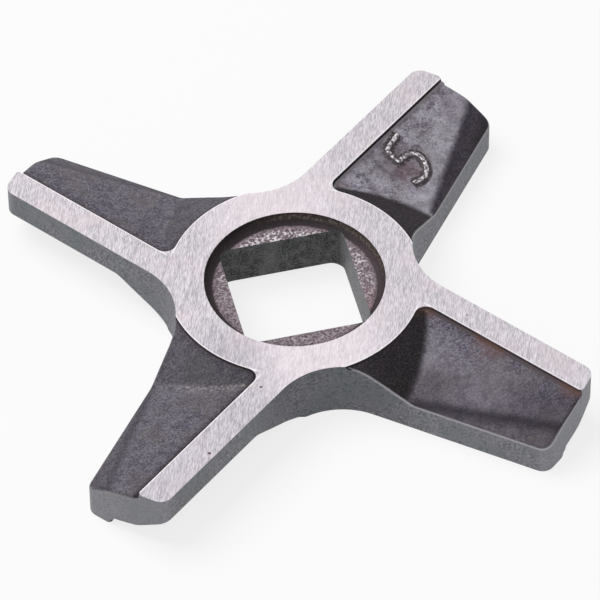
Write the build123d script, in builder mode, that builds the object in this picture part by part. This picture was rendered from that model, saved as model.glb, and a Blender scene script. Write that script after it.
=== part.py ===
"""A four-armed meat grinder knife, size 5: one steel casting, ground flat on both faces.

The knife can be turned over. An arm looks the same from either side when it is turned half a turn about its
own centre line, so the land along one side of an arm on the upper face has its twin along the other side on
the lower face. Both ends of the hub have the same recess, but the lower end has been ground down further.

The origin is on the axis, at the lower ground face. The flats of the drive square lie along X and Y, and the
arms point along the diagonals. All sizes are in millimetres and degrees.
"""

import os
from math import cos, radians, sin, sqrt, tan

from build123d import *

# The knife as a whole
arm_count = 4
first_arm_angle = 45.0
sweep_diameter = 47.5
thickness = 4.75

# The outline of an arm: the sides start at edge_offset from the axis and close in towards the tip
edge_offset = 6.0
arm_taper = 12.8
tip_corner_radius = 0.95
throat_radius = 5.4

# The ground faces: a ring round the hub, and a land behind each cutting edge
ring_diameter = 19.0
land_width = 2.15
land_corner_radius = 0.3

# The pocket beside the land: how far its floor lies below the ground face, and its walls
land_step = 0.45
ring_step = 0.1
pocket_corner_radius = 0.85
wall_draft = 18.0

# The floor of the pocket: a gentle slope from the land, a steeper heel and a cone up to the ring
floor_slope = 13.3
heel_slope = 30.5
heel_depth = 2.375
hub_slope = 28.0
heel_blend_radius = 2.0
hub_blend_radius = 0.8
cast_edge_radius = 0.35

# The recess in each end of the hub, and the drive square between them
recess_diameter = 13.5
upper_recess_depth = 0.8
lower_recess_depth = 0.45
recess_foot_radius = 0.75
drive_square = 9.55
drive_corner_radius = 0.9

# Sizes that follow from these
tip_radius = sweep_diameter / 2
ring_radius = ring_diameter / 2
half_taper = radians(arm_taper / 2)
half_spacing = radians(180 / arm_count)
foot_offset = edge_offset - land_width
reach = tip_radius + thickness

# Faces and edges are picked out by their place, to within closeness, and slopes by how steep they may be
closeness = 0.002
steepest_slope = 45.0

# The directions of an arm's two long sides, for an arm along +X with its upper cutting edge on the +Y side
edge_direction = Vector(cos(half_taper), -sin(half_taper), 0)
heel_direction = Vector(cos(half_taper), sin(half_taper), 0)


def beside_edge(offset):
    """The point nearest the axis on a line beside the cutting edge, at an offset from the axis."""
    return Vector(offset * sin(half_taper), offset * cos(half_taper), 0)


def beside_heel(offset):
    """The point nearest the axis on a line beside the trailing side, at an offset from the axis."""
    return Vector(offset * sin(half_taper), -offset * cos(half_taper), 0)


def sloping_plane(start, along, slope):
    """A plane through a line, which falls away to the right of the line's direction."""
    level = Vector(0, 0, 1)
    return Plane(origin=start, x_dir=along, z_dir=level.rotate(Axis((0, 0, 0), along), slope))


def slopes(shape):
    """The faces of a shape that slope gently, so neither the level faces nor the walls."""
    gentle = cos(radians(steepest_slope))
    return shape.faces().filter_by(lambda face: gentle < abs(face.normal_at().Z) < 1 - closeness)


# One tapered arm from the axis outwards, longer than it will be
root_half_width = edge_offset / cos(half_taper)
end_half_width = root_half_width - reach * tan(half_taper)
with BuildSketch() as arm_outline:
    Polygon(
        (0, -root_half_width),
        (reach, -end_half_width),
        (reach, end_half_width),
        (0, root_half_width),
        align=None,
    )

# The outline of the blank: the arms meet in rounded throats and are cut round at the tips
with BuildSketch() as blank_outline:
    with PolarLocations(0, arm_count, start_angle=first_arm_angle):
        add(arm_outline.sketch)
    throats = blank_outline.vertices().filter_by(lambda corner: Vector(corner).length < tip_radius)
    fillet(throats, radius=throat_radius)
    Circle(tip_radius, mode=Mode.INTERSECT)
    tip_corners = blank_outline.vertices().filter_by(
        lambda corner: abs(Vector(corner).length - tip_radius) < closeness
    )
    fillet(tip_corners, radius=tip_corner_radius)

# The material left under one pocket, with the ground face of the arm at Z = 0
land_foot = beside_edge(foot_offset) - Vector(0, 0, land_step)
heel_foot = beside_heel(edge_offset) - Vector(0, 0, heel_depth)
cone_top_radius = ring_radius - ring_step / tan(radians(hub_slope))
cone_base_radius = cone_top_radius + thickness / tan(radians(hub_slope))
with BuildPart() as pocket_floor:
    Box(reach, 2 * reach, thickness, align=(Align.MIN, Align.CENTER, Align.MAX))
    split(bisect_by=sloping_plane(land_foot, edge_direction, floor_slope), keep=Keep.BOTTOM)
    split(bisect_by=sloping_plane(heel_foot, heel_direction, heel_slope), keep=Keep.BOTTOM)
    floor_face, heel_face = slopes(pocket_floor)
    fillet(floor_face.edges() & heel_face.edges(), radius=heel_blend_radius)
    Cone(
        bottom_radius=cone_base_radius,
        top_radius=cone_top_radius,
        height=thickness,
        align=(Align.CENTER, Align.CENTER, Align.MAX),
    )
    cone_face = pocket_floor.faces().filter_by(GeomType.CONE)[0]
    hub_crease = (slopes(pocket_floor) - [cone_face]).edges() & cone_face.edges()
    fillet(hub_crease, radius=hub_blend_radius)

# The plan of one pocket: bounded by the land, the ring and the line midway to the next arm
land_start = beside_edge(foot_offset)
land_end = land_start + edge_direction * reach
with BuildSketch() as pocket_outline:
    Polygon(
        (0, 0),
        (reach, -reach * tan(half_spacing)),
        (reach, land_end.Y),
        (land_end.X, land_end.Y),
        (land_start.X, land_start.Y),
        align=None,
    )
    Circle(ring_radius, mode=Mode.SUBTRACT)
    inner_corner = pocket_outline.vertices().filter_by(
        lambda corner: abs(Vector(corner).length - ring_radius) < closeness
    ).sort_by(Axis.Y)[-1]
    fillet(inner_corner, radius=pocket_corner_radius)

# What is taken out of the blank for one pocket
with BuildPart() as pocket:
    add(pocket_outline.sketch)
    extrude(amount=-thickness, taper=wall_draft)
    extrude(pocket_outline.sketch, amount=thickness)
    add(pocket_floor.part, mode=Mode.SUBTRACT)

# What is taken off the sharp corner between a land's inner edge and the tip, to leave a rounded one
corner_offset = foot_offset + land_corner_radius
corner_reach = sqrt((tip_radius - land_corner_radius) ** 2 - corner_offset**2)
corner_middle = beside_edge(corner_offset) + edge_direction * corner_reach
into_pocket = -beside_edge(4 * land_corner_radius)
past_tip = corner_middle.normalized() * 4 * land_corner_radius
cut_depth = 2 * land_step
with BuildPart() as land_corner:
    with BuildSketch():
        with Locations(corner_middle):
            Polygon((0, 0), into_pocket, into_pocket + past_tip, past_tip, align=None)
    extrude(amount=-cut_depth)
    with Locations(corner_middle):
        Cone(
            bottom_radius=land_corner_radius + cut_depth * tan(radians(wall_draft)),
            top_radius=land_corner_radius,
            height=cut_depth,
            align=(Align.CENTER, Align.CENTER, Align.MAX),
            mode=Mode.SUBTRACT,
        )
    add(pocket_floor.part, mode=Mode.SUBTRACT)

# What is taken out for a recess, standing on its floor
with BuildPart() as recess:
    Cylinder(recess_diameter / 2, thickness, align=(Align.CENTER, Align.CENTER, Align.MIN))
    recess_foot = recess.edges().filter_by(GeomType.CIRCLE).sort_by(Axis.Z)[0]
    fillet(recess_foot, radius=recess_foot_radius)

upper_face = Location((0, 0, thickness))
lower_face = Location((0, 0, 0), (180, 0, 0))
upper_recess_floor = Location((0, 0, thickness - upper_recess_depth))
lower_recess_floor = Location((0, 0, lower_recess_depth), (180, 0, 0))

with BuildPart() as grinder_knife:
    add(blank_outline.sketch)
    extrude(amount=thickness)

    # Eight pockets: one on each arm's upper face, and its twin below
    with Locations(upper_face, lower_face):
        with PolarLocations(0, arm_count, start_angle=first_arm_angle):
            add(pocket.part, mode=Mode.SUBTRACT)

    # The cast edges, where the pockets run out through the sides and the tips, aren't sharp
    sides = blank_outline.sketch.face().outer_wire()
    cast_edges = []
    for edge in slopes(grinder_knife).edges():
        middle = edge @ 0.5
        if sides.distance_to(Vertex(middle.X, middle.Y, 0)) < closeness:
            cast_edges.append(edge)
    fillet(cast_edges, radius=cast_edge_radius)

    # The corners of the lands at the tips are rounded last, because the cast edges end against them
    with Locations(upper_face, lower_face):
        with PolarLocations(0, arm_count, start_angle=first_arm_angle):
            add(land_corner.part, mode=Mode.SUBTRACT)

    # The recesses
    with Locations(upper_recess_floor, lower_recess_floor):
        add(recess.part, mode=Mode.SUBTRACT)

    # The drive square
    with BuildSketch():
        RectangleRounded(drive_square, drive_square, drive_corner_radius)
    extrude(amount=thickness, mode=Mode.SUBTRACT)

os.makedirs("parts", exist_ok=True)
grinder_knife.part.label = "grinder_knife"
export_step(grinder_knife.part, "parts/grinder_knife.step")
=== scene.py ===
# %% [markdown]
# # A meat grinder knife: dressing one steel casting
#
# This knife turns on the end of a grinder's screw and shears the meat against a plate with holes. It is one
# casting. Its ring and the lands behind its cutting edges are ground flat and bright, and everything else
# keeps the dark skin that it had when it came out of the mould.
#
# The shape comes ready from the CAD model, so this lesson is mostly about finish: how one piece can be
# bright here and dark there without cutting it up. The other way would be a separate material for every
# face, but the faces meet in sharp and rounded edges, and a mask worked out from the place and the slope
# follows those by itself.

# %% Load the knife
from math import atan, cos, degrees, pi, radians, sin, tan

import bpy
from mathutils import Matrix, Vector


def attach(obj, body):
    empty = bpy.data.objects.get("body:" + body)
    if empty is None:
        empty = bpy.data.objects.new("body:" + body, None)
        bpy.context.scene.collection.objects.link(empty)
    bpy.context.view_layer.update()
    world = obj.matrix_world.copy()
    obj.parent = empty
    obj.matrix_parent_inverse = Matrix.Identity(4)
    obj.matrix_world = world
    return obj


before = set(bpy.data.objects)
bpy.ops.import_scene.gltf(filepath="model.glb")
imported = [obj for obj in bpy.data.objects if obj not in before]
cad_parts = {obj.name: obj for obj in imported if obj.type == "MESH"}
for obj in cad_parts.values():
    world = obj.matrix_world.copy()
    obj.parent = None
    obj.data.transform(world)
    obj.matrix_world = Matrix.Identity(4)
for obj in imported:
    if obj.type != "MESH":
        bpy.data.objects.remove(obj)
bpy.context.view_layer.update()
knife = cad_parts["grinder_knife"]

# %% [markdown]
# ## The sizes that the finish follows
#
# A finish made of nodes knows only where a point lies and which way the surface faces there. To put grime at
# the foot of a step, it has to know where the step is. So the few sizes of the knife that its finish follows
# are written here, in millimetres and degrees, and every mask below is made from them.

# %% Sizes of the knife
thickness = 4.75
ring_radius = 9.5
ring_step = 0.1
hub_slope = radians(28)
land_foot_offset = 3.85
land_step = 0.45
floor_slope = radians(13.3)
heel_slope = radians(30.5)
heel_depth = 2.375
side_offset = 6.0
half_taper = radians(6.4)
tip_radius = 23.75
cove_start_radius = 6.0
bore_reach = 6.4
recess_border_radius = 7.4
quarter_turn = pi / 2
numeral_arm_direction = radians(45) - half_taper
grinding_direction = radians(70)
print("pocket floors fall", round(degrees(floor_slope), 1), "degrees from a step of", land_step, "mm")

# %% [markdown]
# ## Small helpers for nodes
#
# Nodes can be placed by hand in the Shader Editor, one by one. In a script that takes three or four lines
# for every sum. These helpers make one node each and give back its output, so that a line of the script
# reads like the sum that it stands for. A colour is written as it would be read off a screen, from 0 to 255,
# and turned into the linear values that Blender counts in.

# %% Helpers that make one node
def colour(red, green, blue):
    """A screen colour as Blender's linear red, green, blue and alpha."""
    parts = [part / 255 for part in (red, green, blue)]
    linear = [part / 12.92 if part < 0.04045 else ((part + 0.055) / 1.055) ** 2.4 for part in parts]
    return (*linear, 1.0)


def node(tree, kind, **settings):
    """A new node of that kind with its settings."""
    made = tree.nodes.new("ShaderNode" + kind)
    for name, setting in settings.items():
        setattr(made, name, setting)
    return made


def feed(tree, socket, source):
    """Gives a socket a number or colour, or links another node's output to it."""
    if isinstance(source, bpy.types.NodeSocket):
        tree.links.new(source, socket)
    else:
        socket.default_value = source


# %% Sums with nodes
def calculate(tree, operation, *terms):
    """One Math node: the operation on one or two terms."""
    made = node(tree, "Math", operation=operation)
    for socket, term in zip(made.inputs, terms):
        feed(tree, socket, term)
    return made.outputs["Value"]


def chain(tree, operation, terms):
    """The same operation on the first two terms, then on the result and the third, and so on."""
    result = terms[0]
    for term in terms[1:]:
        result = calculate(tree, operation, result, term)
    return result


def total(tree, *terms):
    """All the terms added up."""
    return chain(tree, "ADD", terms)


def product(tree, *terms):
    """All the terms multiplied together: on masks, the place that they all cover."""
    return chain(tree, "MULTIPLY", terms)


def largest(tree, *terms):
    """The largest of the terms: on masks, the place that any of them covers."""
    return chain(tree, "MAXIMUM", terms)


def opposite(tree, mask):
    """1 where the mask is 0, and 0 where it is 1."""
    return calculate(tree, "SUBTRACT", 1.0, mask)


def fade(tree, source, start, end):
    """A smooth step: 0 where source is at start, 1 where it is at end."""
    made = node(tree, "MapRange", interpolation_type="SMOOTHSTEP")
    feed(tree, made.inputs["Value"], source)
    low, high, at_low, at_high = (start, end, 0.0, 1.0) if start < end else (end, start, 1.0, 0.0)
    made.inputs["From Min"].default_value = low
    made.inputs["From Max"].default_value = high
    made.inputs["To Min"].default_value = at_low
    made.inputs["To Max"].default_value = at_high
    return made.outputs["Result"]


# %% [markdown]
# Colours are laid over one another like coats of paint. A coat either covers what lies under it, which hides
# the texture there, or tints it, which only makes it darker and keeps the texture. Each coat goes only as
# far as its mask says. A whole finish is then a list of coats, from the lowest to the highest.

# %% Coats of colour
def covered(tree, mask, under, over):
    """One Mix node for colours: under where the mask is 0, over where it is 1."""
    made = node(tree, "Mix", data_type="RGBA")
    feed(tree, made.inputs["Factor"], mask)
    colours = [socket for socket in made.inputs if socket.type == "RGBA"]
    feed(tree, colours[0], under)
    feed(tree, colours[1], over)
    return next(socket for socket in made.outputs if socket.type == "RGBA")


def tinted(tree, mask, under, tint):
    """Multiplies a colour by a tint where the mask is 1. The texture underneath stays."""
    made = covered(tree, mask, under, tint)
    made.node.blend_type = "MULTIPLY"
    return made


def coats(tree, under, *layers):
    """Lays coats over a colour one by one. Each is covered or tinted, with its mask and its colour."""
    for way, mask, over in layers:
        under = way(tree, mask, under, over)
    return under


# %% Patterns and groups
def noise(tree, place, scale, detail=2.0, roughness=0.5):
    """A Noise texture's value at a place."""
    made = node(tree, "TexNoise")
    feed(tree, made.inputs["Vector"], place)
    made.inputs["Scale"].default_value = scale
    made.inputs["Detail"].default_value = detail
    made.inputs["Roughness"].default_value = roughness
    return made.outputs["Fac"]


def millimetres(tree, turn=0.0, stretch=(1, 1, 1)):
    """The place on the piece in millimetres. The pattern can be turned about Z and then stretched."""
    place = node(tree, "TexCoord").outputs["Object"]
    turned = node(tree, "Mapping")
    feed(tree, turned.inputs["Vector"], place)
    turned.inputs["Rotation"].default_value = (0, 0, turn)
    turned.inputs["Scale"].default_value = (1000, 1000, 1000)
    scaled = node(tree, "VectorMath", operation="MULTIPLY")
    feed(tree, scaled.inputs[0], turned.outputs["Vector"])
    scaled.inputs[1].default_value = stretch
    return scaled.outputs["Vector"]


def give_outputs(group, results):
    """Gives a node group an output for each named result, all of them plain values."""
    for name in results:
        group.interface.new_socket(name=name, in_out="OUTPUT", socket_type="NodeSocketFloat")
    made = group.nodes.new("NodeGroupOutput")
    for name, result in results.items():
        feed(group, made.inputs[name], result)
    print(group.name + ":", len(group.nodes), "nodes,", len(results), "outputs")


def use_group(tree, group):
    """A node that uses a group. Its outputs are found by name."""
    made = node(tree, "Group")
    made.node_tree = group
    return made.outputs


def new_material(name):
    """A material with an empty node tree, and the tree."""
    made = bpy.data.materials.new(name)
    made.use_nodes = True
    made.node_tree.nodes.clear()
    return made, made.node_tree


def metal_surface(tree):
    """A Principled shader on the material's output."""
    made = node(tree, "BsdfPrincipled")
    feed(tree, node(tree, "OutputMaterial").inputs["Surface"], made.outputs["BSDF"])
    return made


# %% [markdown]
# ## Where on the knife is this point?
#
# The arms repeat four times and the lower face is the upper one turned over, so eight pockets can share one
# set of sums. First the lower half is folded up onto the upper half. Then the angle round the axis is folded
# to that of a single arm. What is left are three distances: from the axis, from the foot of the land's step,
# and down from the ground face. The way the surface faces tells the rest, because the ground faces are level,
# the sides of the casting stand upright, and the floors of the pockets lie between.

# %% Distances from the axis, the land and the ring
zones = bpy.data.node_groups.new("zones of the knife", "ShaderNodeTree")
place = node(zones, "SeparateXYZ")
feed(zones, place.inputs[0], millimetres(zones))
across, along = place.outputs["X"], place.outputs["Y"]
facing = node(zones, "SeparateXYZ")
feed(zones, facing.inputs[0], node(zones, "TexCoord").outputs["Normal"])
level = calculate(zones, "ABSOLUTE", facing.outputs["Z"])

above_middle = calculate(zones, "SUBTRACT", place.outputs["Z"], thickness / 2)
depth = calculate(zones, "SUBTRACT", thickness / 2, calculate(zones, "ABSOLUTE", above_middle))
folded_along = product(zones, along, calculate(zones, "SIGN", above_middle))
squares = total(zones, product(zones, across, across), product(zones, folded_along, folded_along))
from_axis = calculate(zones, "SQRT", squares)
turns = calculate(zones, "DIVIDE", calculate(zones, "ARCTAN2", folded_along, across), quarter_turn)
part_of_turn = calculate(zones, "SUBTRACT", calculate(zones, "FRACT", turns), 0.5)
arm_angle = product(zones, part_of_turn, quarter_turn)
edge_line = product(zones, from_axis, calculate(zones, "SINE", total(zones, arm_angle, half_taper)))
past_land = calculate(zones, "SUBTRACT", land_foot_offset, edge_line)
past_ring = calculate(zones, "SUBTRACT", from_axis, ring_radius)
print("distances:", len(zones.nodes), "nodes")

# %% [markdown]
# Each mask below is a product of such distances, faded over a few hundredths of a millimetre, so that a
# border is crisp in the picture but never a hard stair. The ground mask also takes in the very top of each
# wall, which paints a thin bright highlight along the edges. The slope tells walls from floors:
# floors of pockets are nearly level, the step's walls lean by 18 degrees, sides are upright, and whatever
# lies between is one of the rounded edges.

# %% Ground faces, walls, sides and edges
outside_hub = fade(zones, from_axis, recess_border_radius - 0.2, recess_border_radius + 0.2)
inside_hub = opposite(zones, outside_hub)
ground = fade(zones, depth, 0.05, 0.02)
not_ground = opposite(zones, ground)
outside_ring = fade(zones, past_ring, -0.2, 0.0)
off_land = fade(zones, past_land, -0.2, 0.0)
beside_land = product(
    zones, fade(zones, past_land, -0.1, -0.05), fade(zones, past_land, 0.3, 0.2), outside_ring
)
beside_ring = product(
    zones, fade(zones, past_ring, -0.1, -0.05), fade(zones, past_ring, 0.3, 0.15), off_land
)
in_corner = product(
    zones, fade(zones, past_land, 0.75, 0.6), fade(zones, past_ring, 0.75, 0.6), outside_ring
)
near_wall = largest(zones, beside_land, beside_ring, in_corner)
leaning = product(zones, fade(zones, level, 0.15, 0.24), fade(zones, level, 0.6, 0.42))
step_wall = product(zones, leaning, near_wall, fade(zones, depth, 0.7, 0.6), not_ground)
off_step = product(zones, outside_hub, not_ground, opposite(zones, step_wall))
side = product(zones, fade(zones, level, 0.55, 0.2), off_step)
rounded_edge = product(zones, fade(zones, level, 0.15, 0.42), fade(zones, level, 0.76, 0.5), off_step)
recess = product(zones, inside_hub, not_ground)
cove = product(zones, recess, fade(zones, from_axis, cove_start_radius, cove_start_radius + 0.2))
bore = product(
    zones, inside_hub, fade(zones, level, 0.3, 0.1),
    fade(zones, from_axis, bore_reach + 0.1, bore_reach - 0.1),
)
print("with faces and walls:", len(zones.nodes), "nodes")

# %% [markdown]
# Inside a pocket, three surfaces meet: the floor, the heel and the cone up to the hub. Each is a slope that
# starts from a known line, so the depth that it would have at any point is one product. Setting those depths
# against one another tells how near the creases are, on either side of them.

# %% How deep floor, cone and heel would be here
floor_depth = total(zones, product(zones, past_land, tan(floor_slope)), land_step)
cone_depth = total(zones, product(zones, past_ring, tan(hub_slope)), ring_step)
side_angle = calculate(zones, "SUBTRACT", half_taper, arm_angle)
side_line = product(zones, from_axis, calculate(zones, "SINE", side_angle))
from_side = calculate(zones, "SUBTRACT", side_offset, side_line)
heel_fall = calculate(zones, "SUBTRACT", heel_depth, product(zones, from_side, tan(heel_slope)))
below_floor = calculate(zones, "SUBTRACT", depth, floor_depth)
above_heel = calculate(zones, "SUBTRACT", floor_depth, heel_fall)
past_crease = calculate(zones, "SUBTRACT", cone_depth, floor_depth)
print("with slopes:", len(zones.nodes), "nodes")

# %% [markdown]
# The masks of the pocket fade over those differences. Only the two right-hand arms carry dark scale and
# painted shade on their cones, so that mask grows towards +X as well.

# %% Floor, heel and cone
cast = product(zones, outside_hub, not_ground)
cast_off_land = product(zones, fade(zones, past_land, 0.1, 0.5), cast)
cone = product(zones, fade(zones, past_crease, 0.14, -0.14), cast_off_land)
# Dark scale and painted shade on the cones, growing towards +X, the side turned away from the lamp.
cone_shade_and_scale = product(
    zones, fade(zones, past_crease, 0.08, -0.26), cast_off_land, fade(zones, across, -4.0, 5.0)
)
# A band along the crease on the floor's side, for painted highlights.
crease_highlight = product(zones, fade(zones, past_crease, -0.08, 0.08), fade(zones, past_crease, 0.6, 0.1), cast)
heel = product(zones, fade(zones, below_floor, 0.01, 0.24), cast)
heel_crease = product(zones, heel, fade(zones, below_floor, 0.5, 0.18))
print("with the pockets:", len(zones.nodes), "nodes")

# %% [markdown]
# Grime and painted shade darken the foot of the step, and the corner between the land and the ring. A thin
# dark line of painted shadow runs where step and floor meet, and a painted highlight runs along the rims of
# the ground faces.

# %% Grime and painted shade at the foot of the step, a painted shadow line, and painted rim highlights
# Grime and painted shade at the foot of the step and in the corner by the ring.
foot_of_step = largest(zones, fade(zones, past_land, 1.0, 0.2), fade(zones, past_ring, 0.6, 0.1))
foot_shade_and_grime = product(zones, foot_of_step, cast)
towards_right = fade(zones, across, -3.0, 6.0)
# A thin dark line of painted shadow where the step meets the floor, reaching less far on the right-hand arms.
shadow_reach = total(zones, past_land, product(zones, towards_right, 0.22))
shadow_along_land = fade(zones, shadow_reach, 0.46, 0.34)
shadow_along_ring = product(zones, fade(zones, past_ring, 0.16, 0.06), fade(zones, past_land, 0.0, 0.3))
step_shadow = product(
    zones, largest(zones, shadow_along_land, shadow_along_ring), fade(zones, past_land, -0.1, 0.0), cast
)
from_land_rim = calculate(zones, "ABSOLUTE", past_land)
from_ring_rim = calculate(zones, "ABSOLUTE", past_ring)
# A painted highlight along the rims of the ground faces.
land_rim = product(zones, fade(zones, from_land_rim, 0.12, 0.04), fade(zones, past_ring, 0.0, 0.8))
ring_rim = product(zones, fade(zones, from_ring_rim, 0.12, 0.04), fade(zones, past_land, 0.0, 0.8))
rim_highlight = product(zones, largest(zones, land_rim, ring_rim), ground)
print("with grime and rims:", len(zones.nodes), "nodes")

# %% [markdown]
# Some marks sit at one place only: two small pits in one land and a faint one in another, a few rust stains
# on the two right-hand arms, and painted shade round the numeral. Such a mark is a ball round a point, which
# fades outwards. Its place and its size are in millimetres, and the pits all lie in the upper ground face.

# %% Pits, rust and painted shade at single places
pit_places = [(-10.02, -15.12, 0.17), (-4.93, -9.82, 0.14), (11.44, -6.64, 0.09)]
rust_places = [
    (4.9, 8.6, 4.1, 2.2),
    (11.3, 9.7, 3.3, 1.5),
    (8.6, -4.6, 4.3, 1.6),
    (12.2, -9.7, 4.4, 1.8),
    (17.0, -15.2, 4.3, 1.2),
]


def near_spot(x, y, z, size):
    """1 at a place on the knife, fading to 0 at that distance from it."""
    gap = node(zones, "VectorMath", operation="DISTANCE")
    feed(zones, gap.inputs[0], millimetres(zones))
    gap.inputs[1].default_value = (x, y, z)
    return fade(zones, gap.outputs["Value"], size, 0.4 * size)


pit = largest(zones, *(near_spot(x, y, thickness, size) for x, y, size in pit_places))
rust = largest(zones, *(near_spot(x, y, z, size) for x, y, z, size in rust_places))
# Painted shade round the numeral.
numeral_shade = near_spot(11.1, 10.4, 3.7, 2.8)
print("with single marks:", len(zones.nodes), "nodes")

# %% Everything that the zones give
give_outputs(zones, {
    "Ground": ground, "Pit": pit, "Rim highlight": rim_highlight,
    "Step wall": step_wall, "Step shadow": step_shadow, "Foot shade and grime": foot_shade_and_grime, "Rust": rust,
    "Numeral shade": numeral_shade,
    "Side": side, "Rounded edge": rounded_edge,
    "Recess": recess, "Cove": cove, "Bore": bore,
    "Cone": cone, "Cone shade and scale": cone_shade_and_scale, "Crease highlight": crease_highlight,
    "Heel": heel, "Heel crease": heel_crease,
    "Depth": depth, "Past land": past_land, "Below floor": below_floor, "Above heel": above_heel,
    "From axis": from_axis, "Across": across, "Along": along,
})

# %% [markdown]
# ## Grinding lines
#
# A ground face is full of fine parallel scratches, because the stone crosses the whole knife in one stroke.
# Noise becomes scratches when the place is turned to the stroke and then squeezed along it, so that each
# grain is drawn out to a line. Three sizes are mixed: hair-fine lines everywhere, broader ones that make the
# face shimmer, and a few deep ones. Large soft clouds keep the whole from looking printed.

# %% Node group: grinding lines
grinding = bpy.data.node_groups.new("grinding lines", "ShaderNodeTree")
fine = noise(grinding, millimetres(grinding, -grinding_direction, (2.0, 17, 1)), 1.0, 3.0, 0.7)
broad = noise(grinding, millimetres(grinding, -grinding_direction, (0.6, 5.5, 1)), 1.0, 2.0, 0.5)
deep = noise(grinding, millimetres(grinding, -grinding_direction, (0.6, 7, 1)), 1.0, 0.0)
give_outputs(grinding, {
    "Lines": total(grinding, product(grinding, fine, 0.8), product(grinding, broad, 0.2)),
    "Deep lines": fade(grinding, deep, 0.34, 0.24),
    "Clouds": noise(grinding, millimetres(grinding), 0.35, 2.0),
})

# %% [markdown]
# ## The skin of the casting
#
# Sand leaves a skin of grains about a sixth of a millimetre across, some of them glinting, in blobs of a few
# grains. Over that lie a soft mottle, near a millimetre in size, and stains as wide as an arm. One could scan
# real sand, but a noise of each size gives the same look at every place, on the knife and on the numeral.

# %% Node group: cast skin
skin = bpy.data.node_groups.new("cast skin", "ShaderNodeTree")
give_outputs(skin, {
    "Grain": noise(skin, millimetres(skin), 6.5, 2.0, 0.7),
    "Mottle": noise(skin, millimetres(skin), 1.2, 3.0, 0.65),
    "Blobs": noise(skin, millimetres(skin), 4.6, 1.0, 0.5),
    "Glints": fade(skin, noise(skin, millimetres(skin), 4.2, 3.0, 0.75), 0.58, 0.68),
    "Stain": noise(skin, millimetres(skin), 0.36, 2.0, 0.5),
})

# %% [markdown]
# ## The knife's steel
#
# Now the colours. Each zone has its own small mix: a dark and a light tone with the texture between them. The
# zones are then laid over one another from the deepest to the highest: skin, grime with painted shade, scale,
# sides, recess, and the ground faces last. Ground steel is a metal. The skin is an oxide, so it is hardly
# metallic and scatters light, and that is why its slopes differ so much more in the light than the bright
# faces do.
#
# No two arms of a real casting are alike. One of these carries the numeral, and it and the rusty one keep less
# painted shade at the foot of the step. One has rusted, one has painted highlights along its crease, and one
# is plain. A mask for each arm tells them apart.

# %% Material: cast and ground steel, and which arm a point is on
steel, tree = new_material("cast and ground steel")
surface = metal_surface(tree)
zone = use_group(tree, zones)
ground_marks = use_group(tree, grinding)
marks = use_group(tree, skin)
across, along, past_land = zone["Across"], zone["Along"], zone["Past land"]

right_arms = fade(tree, across, -3.0, 6.0)
left_arms = opposite(tree, right_arms)
numeral_arm = product(tree, fade(tree, across, 2.0, 6.0), fade(tree, along, 2.0, 6.0))
rusty_arm = product(tree, fade(tree, across, 3.0, 6.0), fade(tree, along, -2.0, -4.0))
front_left_arm = product(tree, fade(tree, across, -2.0, -6.0), fade(tree, along, -2.0, -6.0))
plain_arm = product(tree, fade(tree, across, -1.0, -5.0), fade(tree, along, 1.0, 5.0))
# How much the painted shade at the foot of the step is held back on the numeral's arm and the rusty arm.
less_painted_shade = total(tree, product(tree, numeral_arm, 0.9), product(tree, rusty_arm, 0.6))
print("arms told apart:", len(tree.nodes), "nodes")

# %% [markdown]
# The skin starts as speckled grey, brighter on the arm with the numeral. It gets lighter away from the land,
# and on the numeral's arm painted light brightens the floor at the foot of the step, against the lamp's
# shadow.
# Mottle, stains, rust and painted glints come over that. The floor round the numeral has marks of its own:
# pale spots, dark patches, a light band before the heel, and painted shade close to the numeral.

# %% Masks for the floor of a pocket
speckle = fade(tree, marks["Grain"], 0.28, 0.72)
# The floor gets lighter further from the land, most on the rusty arm.
lighter_share = total(tree, product(tree, rusty_arm, 0.2), 0.08)
lighter_away = product(tree, fade(tree, past_land, 0.3, 4.0), lighter_share)
# Painted light on the numeral's floor at the foot of the step, against the lamp's shadow there.
painted_light_by_land = product(tree, fade(tree, past_land, 0.9, 0.3), numeral_arm, 0.3)
numeral_floor = product(tree, numeral_arm, fade(tree, zone["Below floor"], 0.2, 0.02))
dark_spots = product(tree, fade(tree, marks["Mottle"], 0.56, 0.38), 0.7)
pale_spots = product(tree, fade(tree, marks["Mottle"], 0.4, 0.64), numeral_floor, 0.4)
dark_patches = product(tree, fade(tree, marks["Stain"], 0.5, 0.36), numeral_floor)
brown_stains = product(tree, fade(tree, marks["Stain"], 0.5, 0.62), 0.25)
light_band = product(tree, numeral_floor, fade(tree, zone["Above heel"], 0.8, 0.2), 0.25)
rust_stains = product(tree, zone["Rust"], fade(tree, marks["Mottle"], 0.62, 0.42), 0.42)
print("with floor masks:", len(tree.nodes), "nodes")

# %% Coats of the skin
dark_skin = covered(tree, speckle, colour(62, 58, 67), colour(136, 131, 144))
bright_skin = covered(tree, speckle, colour(78, 73, 82), colour(176, 171, 184))
skin_tone = coats(
    tree, covered(tree, numeral_arm, dark_skin, bright_skin),
    # Lighter away from the land, with painted light at the foot of the step on the numeral's arm.
    (covered, total(tree, lighter_away, painted_light_by_land), colour(176, 171, 178)),
    (tinted, plain_arm, colour(242, 242, 242)),
    (tinted, dark_spots, colour(190, 184, 196)),
    (covered, pale_spots, colour(192, 189, 201)),
    (tinted, dark_patches, colour(206, 199, 203)),
    (covered, light_band, colour(200, 197, 206)),
    # Painted shade close to the numeral.
    (tinted, product(tree, zone["Numeral shade"], numeral_floor), colour(212, 203, 205)),
    (covered, brown_stains, colour(106, 99, 94)),
    (covered, rust_stains, colour(106, 80, 82)),
    # Painted glints on the grains.
    (covered, product(tree, marks["Glints"], 0.35), colour(176, 172, 180)),
)
print("with skin:", len(tree.nodes), "nodes")
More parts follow.
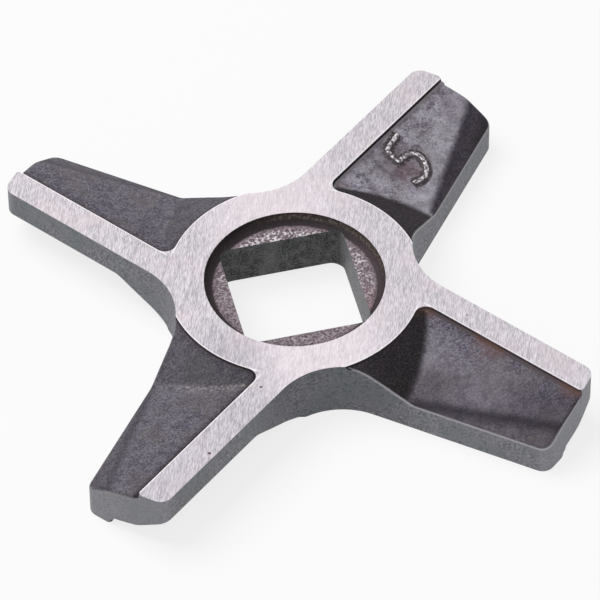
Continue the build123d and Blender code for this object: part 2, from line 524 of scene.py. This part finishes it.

# %% [markdown]
# The crease below the hub carries painted highlights as bright specks, most of all on one arm and near its
# land. The heel is painted darker than the floor with shade, darkest in the crease where it starts. On the
# rusty arm painted shade dims the floor before the crease already, near the hub and the tip above all. The
# light comes from behind on the left, so on the right-hand arms the heel turns away from it, and painted shade
# helps that along there.

# %% Masks for creases and heels
# Painted highlights as bright specks along the crease, most on the front left arm near its land.
highlight_share = total(tree, product(tree, front_left_arm, fade(tree, past_land, 5.8, 4.2), 0.45), 0.1)
crease_highlight_specks = product(tree, zone["Crease highlight"], fade(tree, marks["Blobs"], 0.46, 0.62), highlight_share)
heel, heel_crease = zone["Heel"], zone["Heel crease"]
deep_heel_shade = product(tree, largest(tree, heel_crease, product(tree, numeral_arm, heel)), right_arms)
low_heel = product(tree, heel, fade(tree, zone["Below floor"], 0.1, 0.9))
low_inner_heel = product(tree, low_heel, rusty_arm, fade(tree, zone["From axis"], 20.0, 15.0))
on_floor = fade(tree, zone["Below floor"], 0.35, 0.05)
# Painted shade dims the rusty arm's floor before the heel's crease.
shaded_strip = product(tree, rusty_arm, on_floor, fade(tree, zone["Above heel"], 1.3, 0.4))
near_hub = fade(tree, zone["From axis"], 17.0, 13.0)
near_tip = fade(tree, zone["From axis"], 17.5, 20.5)
print("with heel masks:", len(tree.nodes), "nodes")

# %% Painted highlights and shade at the creases and heels
heeled = coats(
    tree, skin_tone,
    (tinted, shaded_strip, colour(224, 222, 226)),
    (tinted, product(tree, shaded_strip, near_hub), colour(204, 200, 200)),
    (tinted, product(tree, shaded_strip, near_tip), colour(210, 207, 210)),
    (covered, crease_highlight_specks, colour(186, 180, 180)),
    # The front left arm's floor is a little darker.
    (tinted, front_left_arm, colour(236, 236, 236)),
    # Painted shade on the heel, darkest in its crease and on the right-hand arms.
    (tinted, heel, colour(226, 224, 224)),
    (tinted, heel_crease, colour(200, 197, 204)),
    (tinted, deep_heel_shade, colour(196, 193, 198)),
    (tinted, product(tree, heel, right_arms), colour(216, 212, 215)),
    (tinted, product(tree, low_heel, numeral_arm), colour(112, 108, 114)),
    (tinted, low_inner_heel, colour(222, 220, 222)),
)
print("with heels:", len(tree.nodes), "nodes")

# %% [markdown]
# Grime and painted shade darken the foot of the step, less on the numeral's arm and the rusty arm. The cone up
# to the hub is a little darker than the floor, and nearly black on the right with scale and painted shade. A
# thin dark line of painted shadow runs where step and floor meet.

# %% Grime, scale and painted shade
# Grime and painted shade at the foot of the step, held back on the numeral's arm and the rusty arm.
grime_and_shade = product(tree, zone["Foot shade and grime"], opposite(tree, less_painted_shade))
# Painted shade beside the land on the left-hand arms.
shade_beside_land = product(tree, fade(tree, past_land, 0.8, 0.35), left_arms, fade(tree, past_land, 0.0, 0.2))
scale_specks = product(tree, zone["Cone shade and scale"], fade(tree, marks["Grain"], 0.46, 0.66), 0.14)
# The painted shadow line, held back on the numeral's arm and the rusty arm.
painted_step_shadow = product(tree, zone["Step shadow"], calculate(tree, "SUBTRACT", 0.9, less_painted_shade))
shaded_and_grimy = coats(
    tree, heeled,
    (tinted, grime_and_shade, colour(218, 208, 212)),
    (tinted, shade_beside_land, colour(206, 202, 202)),
    (tinted, zone["Cone"], colour(208, 208, 208)),
    # Painted shade and scale make the right-hand cones nearly black.
    (tinted, zone["Cone shade and scale"], colour(72, 65, 70)),
    (covered, scale_specks, colour(132, 116, 124)),
    (covered, painted_step_shadow, colour(28, 20, 24)),
)
print("with grime:", len(tree.nodes), "nodes")

# %% [markdown]
# The wall of the step is painted nearly black with shade. On one arm it has rusted instead: a dark line of
# painted shade runs along its top, the rest is painted lighter against the lamp's shade, and the rust has
# crept a little way over the foot. On the arm with the numeral only the top of the wall carries the black
# painted shade, and the rest is painted light, as bright as the floor, against the lamp's shade.

# %% Colours of the step's wall
# On the rusty arm: a dark line of painted shade at the top, then rust over a tone painted lighter against the
# lamp's shade.
wall_rust_and_light = covered(tree, zone["Rust"], colour(114, 102, 106), colour(128, 101, 92))
rust_shade_and_light_wall = covered(tree, fade(tree, zone["Depth"], 0.08, 0.32), colour(54, 42, 44), wall_rust_and_light)
# On the numeral's arm: painted shade at the top of the wall, painted light below it.
painted_light_share = fade(tree, zone["Depth"], 0.2, 0.34)
shaded_and_lit_wall = covered(tree, painted_light_share, colour(8, 5, 7), colour(176, 168, 176))
shaded_wall = covered(tree, numeral_arm, colour(20, 14, 18), shaded_and_lit_wall)
rust_creep = product(tree, zone["Foot shade and grime"], rusty_arm, zone["Rust"], 0.35)
stepped = coats(
    tree, shaded_and_grimy,
    (covered, zone["Step wall"], covered(tree, rusty_arm, shaded_wall, rust_shade_and_light_wall)),
    (covered, rust_creep, colour(112, 86, 80)),
)
print("with the step's wall:", len(tree.nodes), "nodes")

# %% [markdown]
# The sides are the same casting, but fettled and rubbed, so they are greyer and brighter. The ends of the
# arms carry a painted highlight, the throat in front is darker, and the rounded edges carry a brighter
# painted highlight, more on the right-hand arms.

# %% Colours of the sides and the rounded edges
side_noise = total(tree, product(tree, marks["Grain"], 0.5), product(tree, marks["Blobs"], 0.5))
side_grain = covered(tree, fade(tree, side_noise, 0.34, 0.66), colour(91, 91, 95), colour(147, 147, 152))
# Painted highlight on the ends of the arms.
arm_end_highlight = fade(tree, zone["From axis"], tip_radius - 0.95, tip_radius - 0.35)
front_throat = product(tree, fade(tree, zone["From axis"], 15.0, 11.0), fade(tree, along, -3.0, -7.0))
side_tone = coats(
    tree, side_grain,
    (covered, product(tree, fade(tree, marks["Stain"], 0.42, 0.6), 0.5), colour(108, 116, 116)),
    (covered, product(tree, fade(tree, marks["Mottle"], 0.4, 0.62), 0.6), colour(132, 131, 137)),
    (covered, product(tree, arm_end_highlight, 0.4), colour(156, 155, 160)),
    (tinted, front_throat, colour(226, 226, 228)),
)
# Painted highlight on the rounded edges, more on the right-hand arms.
edge_highlight_share = total(tree, product(tree, right_arms, 0.4), 0.3)
sided = coats(
    tree, stepped,
    (covered, zone["Side"], side_tone),
    (covered, product(tree, zone["Rounded edge"], edge_highlight_share), colour(182, 180, 184)),
)
print("with sides:", len(tree.nodes), "nodes")

# %% [markdown]
# Painted glints make the floor of the recess glitter, most at the back. On the right it has a breath of red
# rust.

# %% Colours of the recess
recess_grain = fade(tree, marks["Grain"], 0.3, 0.7)
towards_back = fade(tree, total(tree, along, product(tree, across, 0.5)), -4.0, 4.0)
glinting_grains = product(tree, fade(tree, marks["Blobs"], 0.48, 0.6), fade(tree, marks["Mottle"], 0.36, 0.56))
glitter_share = total(tree, product(tree, towards_back, 0.6), 0.25)
glitter = product(tree, glinting_grains, glitter_share, fade(tree, zone["From axis"], 6.1, 5.5))
reddish = product(tree, fade(tree, across, 2.0, 6.0), fade(tree, marks["Stain"], 0.45, 0.6), 0.3)
recess_floor = coats(
    tree, covered(tree, recess_grain, colour(72, 60, 66), colour(158, 143, 151)),
    (covered, glitter, colour(240, 234, 238)),
    (covered, reddish, colour(134, 96, 104)),
)
recessed = covered(tree, zone["Recess"], sided, recess_floor)
print("with the recess:", len(tree.nodes), "nodes")

# %% [markdown]
# The cove round the recess is painted dark with shade, apart from a painted gloss halfway up its far wall. The
# walls of the drive square are plain mottled steel, with painted light on the right-hand one, which faces the
# lamp, and with a paler strip down the middle of the far one.

# %% Colours of the cove and the drive square
far_side = fade(tree, total(tree, along, product(tree, across, 0.9)), 3.5, 8.0)
mid_wall = product(tree, fade(tree, zone["Depth"], 0.08, 0.16), fade(tree, zone["Depth"], 0.62, 0.4))
gloss_spots = fade(tree, marks["Blobs"], 0.4, 0.7)
# Painted shade in the cove, with a painted gloss on its far wall.
cove_tone = coats(
    tree, covered(tree, speckle, colour(34, 27, 30), colour(54, 45, 49)),
    (covered, product(tree, fade(tree, across, 4.5, 6.5), 0.3), colour(92, 76, 80)),
    (
        covered, product(tree, far_side, mid_wall, 0.95),
        covered(tree, gloss_spots, colour(74, 67, 60), colour(122, 110, 106)),
    ),
)
bore_noise = total(tree, product(tree, marks["Mottle"], 0.4), product(tree, marks["Grain"], 0.6))
from_strip = calculate(tree, "ABSOLUTE", total(tree, across, 0.8))
bore_tone = coats(
    tree, covered(tree, fade(tree, bore_noise, 0.4, 0.6), colour(54, 55, 55), colour(128, 129, 129)),
    # Painted light on the right-hand wall of the square.
    (covered, product(tree, fade(tree, across, 4.2, 4.7), 0.35), colour(176, 175, 180)),
    (covered, product(tree, fade(tree, from_strip, 1.0, 0.3), 0.35), colour(136, 136, 139)),
)
bored = coats(tree, recessed, (covered, zone["Cove"], cove_tone), (covered, zone["Bore"], bore_tone))
print("with cove and bore:", len(tree.nodes), "nodes")

# %% [markdown]
# The ground faces are nearly white metal. Their streaks are only a few shades apart, and a few deeper ones
# are darker. A painted highlight brightens a band over the middle, a little painted light brightens the
# right-hand arms, painted shade dims the front left arm, and a painted highlight runs along the rims.

# %% Colours of the ground faces
streaks = fade(tree, ground_marks["Lines"], 0.37, 0.63)
warm_clouds = product(tree, fade(tree, ground_marks["Clouds"], 0.45, 0.66), 0.25)
middle_highlight = fade(tree, calculate(tree, "ABSOLUTE", across), 7.0, 2.0)
ground_tone = coats(
    tree, covered(tree, streaks, colour(159, 154, 161), colour(210, 204, 210)),
    (covered, product(tree, ground_marks["Deep lines"], 0.25), colour(140, 134, 140)),
    (covered, warm_clouds, colour(206, 192, 194)),
    # Painted highlight over the middle.
    (covered, product(tree, middle_highlight, 0.4), colour(230, 220, 224)),
    # A little painted light on the right-hand arms.
    (covered, product(tree, right_arms, 0.06), colour(240, 232, 238)),
    # Painted shade dims the ground faces of the front left arm.
    (tinted, front_left_arm, colour(238, 238, 240)),
    # Painted highlight along the rims.
    (covered, product(tree, zone["Rim highlight"], 0.65), colour(236, 232, 235)),
    (covered, zone["Pit"], colour(88, 62, 66)),
)
feed(tree, surface.inputs["Base Color"], covered(tree, zone["Ground"], bored, ground_tone))
print("all colours:", len(tree.nodes), "nodes")

# %% [markdown]
# Metallic and roughness follow the same masks. The bump doesn't mix so well. The lines on the ground faces
# are only a few thousandths of a millimetre deep, and the grains of the skin a few hundredths, so the two
# need separate Bump nodes: one strength for both would either flatten the sand or turn the scratches into
# furrows.

# %% Metal, roughness and bump
rubbed_places = product(tree, largest(tree, zone["Side"], zone["Rounded edge"]), 0.75)
metal = largest(tree, zone["Ground"], total(tree, rubbed_places, 0.08))
feed(tree, surface.inputs["Metallic"], metal)
skin_roughness = total(tree, product(tree, marks["Mottle"], 0.3), 0.42)
ground_roughness = total(tree, product(tree, ground_marks["Lines"], 0.25), 0.22)
roughness_gap = calculate(tree, "SUBTRACT", ground_roughness, skin_roughness)
roughness = total(tree, skin_roughness, product(tree, roughness_gap, zone["Ground"]))
feed(tree, surface.inputs["Roughness"], roughness)
surface.inputs["Specular IOR Level"].default_value = 0.2

skin_bump = node(tree, "Bump")
skin_bump.inputs["Distance"].default_value = 0.00006
feed(tree, skin_bump.inputs["Strength"], opposite(tree, zone["Ground"]))
feed(tree, skin_bump.inputs["Height"], total(tree, marks["Grain"], product(tree, marks["Mottle"], 0.8)))
ground_bump = node(tree, "Bump")
ground_bump.inputs["Distance"].default_value = 0.000003
feed(tree, ground_bump.inputs["Strength"], zone["Ground"])
feed(tree, ground_bump.inputs["Height"], ground_marks["Lines"])
feed(tree, ground_bump.inputs["Normal"], skin_bump.outputs["Normal"])
feed(tree, surface.inputs["Normal"], ground_bump.outputs["Normal"])
knife.material_slots[0].material = steel
print("steel:", len(tree.nodes), "nodes")

# %% [markdown]
# ## The size numeral
#
# One pocket holds a raised 5, the grinder's size. On the real casting it was cut into the pattern by hand, so
# it is a round bead, a little uneven, and its foot melts into the floor. A font would look printed. The bead
# is drawn instead as a line: a bar, a stem, a bowl and a tail. A curve can carry a round section along that
# line. A second, wider and flatter bead under it makes the soft foot.
#
# The line is drawn in the plane of the pocket's floor, so that it needs no fitting afterwards: X runs out
# along the arm and Y up the slope towards the land.

# %% The line of the numeral, in millimetres
numeral_line = {
    "end of the bar": ((16.97, 3.31), "VECTOR"),
    "start of the bar": ((15.45, 3.06), "VECTOR"),
    "shoulder": ((15.13, 2.90), "AUTO"),
    "start of the stem": ((15.01, 2.58), "VECTOR"),
    "foot of the stem": ((14.90, 1.68), "VECTOR"),
    "start of the bowl": ((15.82, 1.58), "AUTO"),
    "top of the bowl": ((16.44, 1.20), "AUTO"),
    "side of the bowl": ((16.42, 0.42), "AUTO"),
    "bottom of the bowl": ((15.40, -0.57), "AUTO"),
    "end of the tail": ((14.16, -0.35), "AUTO"),
}
print("numeral line:", len(numeral_line), "points")


# %% One bead along the line
def bead(name, width, height):
    """A rounded bead along the numeral's line, half of it below the plane of the floor."""
    bpy.ops.object.select_all(action="DESELECT")
    bpy.ops.curve.primitive_bezier_curve_add()
    made = bpy.context.active_object
    made.name = name
    made.data.splines.clear()
    line = made.data.splines.new("BEZIER")
    line.bezier_points.add(len(numeral_line) - 1)
    for point, (place, handle) in zip(line.bezier_points, numeral_line.values()):
        point.co = (*place, 0)
        point.handle_left_type = point.handle_right_type = handle
    made.data.bevel_depth = width / 2
    made.data.bevel_resolution = 4
    made.data.use_fill_caps = True
    bpy.ops.object.convert(target="MESH")
    made = bpy.context.active_object
    made.data.transform(Matrix.Diagonal((1, 1, 2 * height / width, 1)))
    return made


crest = bead("size_numeral", width=0.52, height=0.21)
foot = bead("numeral_foot", width=1.0, height=0.065)
print("beads:", len(crest.data.polygons), "and", len(foot.data.polygons), "faces")

# %% [markdown]
# The two beads are joined, and a voxel remesh fuses them into one skin, which also rounds the ends and the
# corners. A little smoothing then melts the joint. The same could be done by sculpting, but voxels do it
# evenly.

# %% Fuse the beads
bpy.ops.object.select_all(action="DESELECT")
for made in (foot, crest):
    made.select_set(True)
bpy.context.view_layer.objects.active = crest
bpy.ops.object.join()
numeral = bpy.context.active_object
fuse = numeral.modifiers.new("fuse", "REMESH")
fuse.mode = "VOXEL"
fuse.voxel_size = 0.045
bpy.ops.object.modifier_apply(modifier=fuse.name)
melt = numeral.modifiers.new("melt", "SMOOTH")
melt.iterations = 4
bpy.ops.object.modifier_apply(modifier=melt.name)
bpy.ops.object.shade_smooth()
print("fused bead:", len(numeral.data.polygons), "faces")

# %% [markdown]
# The floor of the pocket is a plane through the foot of the step, so three directions lay the bead on it: out
# along the arm, up the slope, and off the floor. They are the columns of the matrix that moves the mesh, which
# turns millimetres into metres at the same time. The object itself stays at the origin.

# %% Lay the numeral on the floor of the pocket
outwards = Vector((cos(numeral_arm_direction), sin(numeral_arm_direction), 0))
level_uphill = Vector((-sin(numeral_arm_direction), cos(numeral_arm_direction), 0))
uphill = Matrix.Rotation(floor_slope, 3, outwards) @ level_uphill
off_floor = outwards.cross(uphill)
floor_under_axis = thickness - land_step - land_foot_offset * tan(floor_slope)
to_floor = Matrix((outwards, uphill, off_floor)).transposed().to_4x4()
to_floor.translation = (0, 0, floor_under_axis)
numeral.data.transform(Matrix.Scale(0.001, 4) @ to_floor)
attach(numeral, "root")
print("size numeral:", [round(1000 * size, 2) for size in numeral.dimensions], "mm")

# %% [markdown]
# The bead has the same skin as the pocket, but its crest carries painted highlights and its foot painted
# shade. How far a point stands off the floor is one dot product with the direction off the floor, so that is
# the mask. Adding a little noise to it makes the borders ragged.

# %% Material: bead with painted highlights and shade
bead_paint, tree = new_material("bead with painted light and shade")
bead_surface = metal_surface(tree)
marks = use_group(tree, skin)
off = node(tree, "VectorMath", operation="DOT_PRODUCT")
feed(tree, off.inputs[0], millimetres(tree))
off.inputs[1].default_value = off_floor
stands_off = calculate(tree, "SUBTRACT", off.outputs["Value"], floor_under_axis * off_floor.z)


def ragged(pattern, unevenness):
    """How far a point stands off the floor, made uneven by a pattern."""
    shift = product(tree, calculate(tree, "SUBTRACT", marks[pattern], 0.5), unevenness)
    return total(tree, stands_off, shift)


speckle = fade(tree, marks["Grain"], 0.28, 0.72)
crest_highlights = fade(tree, marks["Blobs"], 0.4, 0.66)
bead_tone = coats(
    tree, covered(tree, speckle, colour(66, 60, 68), colour(124, 116, 126)),
    # Painted shade round the foot of the bead.
    (covered, fade(tree, ragged("Blobs", 0.2), 0.012, 0.045), colour(28, 8, 18)),
    (
        # Painted highlights on the crest.
        covered, fade(tree, ragged("Glints", 0.07), 0.07, 0.15),
        covered(tree, crest_highlights, colour(84, 76, 82), colour(210, 205, 208)),
    ),
)
feed(tree, bead_surface.inputs["Base Color"], bead_tone)
print("bead colours:", len(tree.nodes), "nodes")

# %% Metal, roughness and bump of the bead
feed(tree, bead_surface.inputs["Roughness"], total(tree, product(tree, marks["Mottle"], 0.3), 0.35))
feed(tree, bead_surface.inputs["Metallic"], product(tree, fade(tree, stands_off, 0.1, 0.2), 0.5))
bead_bump = node(tree, "Bump")
bead_bump.inputs["Distance"].default_value = 0.00004
feed(tree, bead_bump.inputs["Height"], marks["Grain"])
feed(tree, bead_surface.inputs["Normal"], bead_bump.outputs["Normal"])
numeral.data.materials.clear()
numeral.data.materials.append(bead_paint)
print("bead with painted light and shade:", len(tree.nodes), "nodes")

# %% [markdown]
# ## Floor, light and camera
#
# The knife lies on a plain pale floor. Its paper is matt for the light that falls on it, so it keeps the
# knife's shadow, but to the eye and in reflections most of it glows white. That gives a white picture without
# more light on the knife.

# %% Floor
bpy.ops.object.select_all(action="DESELECT")
bpy.ops.mesh.primitive_plane_add(size=3.0, location=(0, 0, 0))
floor = bpy.context.active_object
floor.name = "floor"
paper, tree = new_material("white paper")
matt = node(tree, "BsdfDiffuse")
matt.inputs["Color"].default_value = (0.92, 0.92, 0.92, 1)
glow = node(tree, "Emission")
glow.inputs["Color"].default_value = (1, 1, 1, 1)
rays = node(tree, "LightPath")
seen = largest(tree, rays.outputs["Is Camera Ray"], rays.outputs["Is Glossy Ray"])
mixed = node(tree, "MixShader")
feed(tree, mixed.inputs["Fac"], product(tree, seen, 0.8))
feed(tree, mixed.inputs[1], matt.outputs["BSDF"])
feed(tree, mixed.inputs[2], glow.outputs["Emission"])
feed(tree, node(tree, "OutputMaterial").inputs["Surface"], mixed.outputs["Shader"])
floor.data.materials.append(paper)
print("floor:", round(floor.dimensions.x, 1), "m wide")

# %% [markdown]
# Metal shows its surroundings, so the surroundings have to be plain and pale too. The world is white to the
# eye and in reflections, and only a soft grey light for everything that scatters.

# %% World
world = bpy.data.worlds.new("studio")
bpy.context.scene.world = world
world.use_nodes = True
tree = world.node_tree
tree.nodes.clear()
rays = node(tree, "LightPath")
seen = largest(
    tree, rays.outputs["Is Camera Ray"], rays.outputs["Is Glossy Ray"], rays.outputs["Is Transmission Ray"]
)
sky = node(tree, "Background")
feed(tree, sky.inputs["Color"], covered(tree, seen, (0.3, 0.3, 0.3, 1), (1, 1, 1, 1)))
feed(tree, node(tree, "OutputWorld").inputs["Surface"], sky.outputs["Background"])
print("world:", len(tree.nodes), "nodes")

# %% [markdown]
# One large lamp comes from behind on the left. With the painted shade on the heels and cones, that is what
# makes the slopes that face right and forwards so dark. A second, weak one fills in from the front. Large
# lamps
# close by give soft light: small ones would draw hard shadows into the pockets.

# %% Lamps
def lamp(name, bearing, height, power, width, distance=0.5):
    """A square area lamp aimed at the knife. Its bearing from +X and its height are in degrees."""
    bpy.ops.object.light_add(type="AREA")
    made = bpy.context.active_object
    made.name = name
    made.data.energy = power
    made.data.size = width
    turn, lift = radians(bearing), radians(height)
    away = Vector((cos(lift) * cos(turn), cos(lift) * sin(turn), sin(lift)))
    made.location = away * distance
    made.rotation_euler = away.to_track_quat("Z", "Y").to_euler()
    return made


key = lamp("key lamp", bearing=139, height=60, power=1.9, width=0.35)
fill = lamp("fill lamp", bearing=-100, height=50, power=0.15, width=0.4)
print("lamps:", key.data.energy, "W and", fill.data.energy, "W")

# %% [markdown]
# The camera stands where the photo was taken from. That was worked out from the ring and the tips of the arms,
# whose real places in the ground plane are known. The result is a place, a long lens, and the directions
# that point right and up in the picture. The third direction, back from the knife, is square to both.

# %% Camera
bpy.ops.object.camera_add()
camera = bpy.context.active_object
bpy.context.scene.camera = camera
camera_place = Vector((-0.06468, -0.27645, 0.31293))
right = Vector((0.97131, -0.23767, -0.00808))
up = Vector((0.18071, 0.71560, 0.67472))
back = right.cross(up)
turned = Matrix((right, up, back)).transposed()
camera.matrix_world = Matrix.Translation(camera_place) @ turned.to_4x4()
camera.data.sensor_width = 36
camera.data.lens = 339.2
camera.data.clip_start = 0.01
bpy.context.scene.view_settings.view_transform = "Standard"
print("camera looks down by", round(degrees(atan(back.z / back.xy.length)), 1), "degrees")

# %% Update the view layer
bpy.context.view_layer.update()
